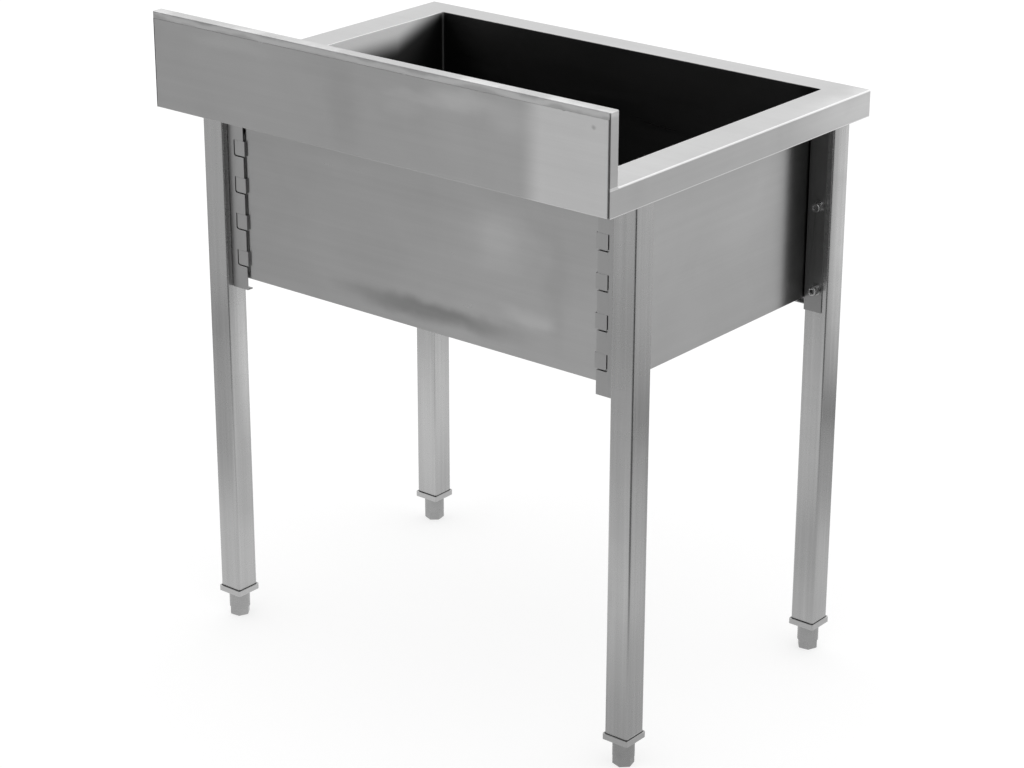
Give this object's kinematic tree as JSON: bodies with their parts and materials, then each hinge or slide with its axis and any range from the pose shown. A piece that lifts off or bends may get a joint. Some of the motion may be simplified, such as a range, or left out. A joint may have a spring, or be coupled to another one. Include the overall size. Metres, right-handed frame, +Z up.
{
  "type": "utility sink",
  "caption": "Freestanding stainless utility sink with a deep single bowl, folded rim, hollow rear upstand, bolted square-tube legs and levelling feet.",
  "frame": {"origin": "centre of the footprint at floor level", "axes": "+X to the right of a user at the front, +Y to the upstand at the back, +Z up"},
  "size_m": [0.8, 0.6, 0.955],
  "materials": {
    "rim_sheet": "brushed stainless sheet, grain along each face",
    "bowl_sheet": "brushed stainless sheet",
    "leg_tube": "brushed stainless square tube, grain along the tube",
    "bracket_plate": "matt stainless plate",
    "plug_metal": "satin stainless pressing",
    "foot_metal": "turned stainless",
    "fastener": "stainless fasteners",
    "waste_metal": "polished stainless",
    "gasket_rubber": "black rubber",
    "locknut_brass": "plain brass"
  },
  "bodies": {
    "sink_frame": {"worktop": "rim_sheet", "upstand_cover": "rim_sheet", "bowl_walls": "bowl_sheet", "bowl_floor": "bowl_sheet", "rim_stiffener_front": "bowl_sheet", "rim_stiffener_rear": "bowl_sheet", "rim_stiffener_left": "bowl_sheet", "rim_stiffener_right": "bowl_sheet", "leg_front_left": "leg_tube", "leg_front_right": "leg_tube", "leg_rear_left": "leg_tube", "leg_rear_right": "leg_tube", "leg_bracket_front_left": "bracket_plate", "leg_bracket_front_right": "bracket_plate", "leg_bracket_rear_left": "bracket_plate", "leg_bracket_rear_right": "bracket_plate", "hook_rail_front_left": "bracket_plate", "hook_rail_front_right": "bracket_plate", "hook_rail_rear_left": "bracket_plate", "hook_rail_rear_right": "bracket_plate", "leg_plug_front_left": "plug_metal", "leg_plug_front_right": "plug_metal", "leg_plug_rear_left": "plug_metal", "leg_plug_rear_right": "plug_metal", "flat_washers": "fastener", "spring_washers": "fastener", "cap_screws": "fastener", "rivet_nuts": "fastener", "waste_flange": "waste_metal", "waste_gasket": "gasket_rubber", "waste_locknut": "locknut_brass"},
    "stud_front_left": {"foot_stud_front_left": "foot_metal"},
    "foot_front_left": {"foot_front_left": "foot_metal"},
    "stud_front_right": {"foot_stud_front_right": "foot_metal"},
    "foot_front_right": {"foot_front_right": "foot_metal"},
    "stud_rear_left": {"foot_stud_rear_left": "foot_metal"},
    "foot_rear_left": {"foot_rear_left": "foot_metal"},
    "stud_rear_right": {"foot_stud_rear_right": "foot_metal"},
    "foot_rear_right": {"foot_rear_right": "foot_metal"},
    "basket": {"strainer_basket": "waste_metal"}
  },
  "joints": [
    {"name": "foot_travel_front_left", "type": "slide", "parent": "sink_frame", "child": "stud_front_left", "axis": [0, 0, -1], "range_m": [0, 0.027]},
    {"name": "foot_spin_front_left", "type": "hinge", "parent": "stud_front_left", "child": "foot_front_left", "pos_m": [-0.3675, -0.252, 0.02], "axis": [0, 0, -1], "range_deg": [0, 6500]},
    {"name": "foot_travel_front_right", "type": "slide", "parent": "sink_frame", "child": "stud_front_right", "axis": [0, 0, -1], "range_m": [0, 0.027]},
    {"name": "foot_spin_front_right", "type": "hinge", "parent": "stud_front_right", "child": "foot_front_right", "pos_m": [0.3675, -0.252, 0.02], "axis": [0, 0, -1], "range_deg": [0, 6500]},
    {"name": "foot_travel_rear_left", "type": "slide", "parent": "sink_frame", "child": "stud_rear_left", "axis": [0, 0, -1], "range_m": [0, 0.027]},
    {"name": "foot_spin_rear_left", "type": "hinge", "parent": "stud_rear_left", "child": "foot_rear_left", "pos_m": [-0.3675, 0.205, 0.02], "axis": [0, 0, -1], "range_deg": [0, 6500]},
    {"name": "foot_travel_rear_right", "type": "slide", "parent": "sink_frame", "child": "stud_rear_right", "axis": [0, 0, -1], "range_m": [0, 0.027]},
    {"name": "foot_spin_rear_right", "type": "hinge", "parent": "stud_rear_right", "child": "foot_rear_right", "pos_m": [0.3675, 0.205, 0.02], "axis": [0, 0, -1], "range_deg": [0, 6500]},
    {"name": "basket_lift", "type": "slide", "parent": "sink_frame", "child": "basket", "axis": [0, 0, 1], "range_m": [0, 0.33]}
  ],
  "couplings": [
    {"joint": "foot_spin_front_left", "follows": "foot_travel_front_left", "rad_per_m": 4188.8},
    {"joint": "foot_spin_front_right", "follows": "foot_travel_front_right", "rad_per_m": 4188.8},
    {"joint": "foot_spin_rear_left", "follows": "foot_travel_rear_left", "rad_per_m": 4188.8},
    {"joint": "foot_spin_rear_right", "follows": "foot_travel_rear_right", "rad_per_m": 4188.8}
  ]
}
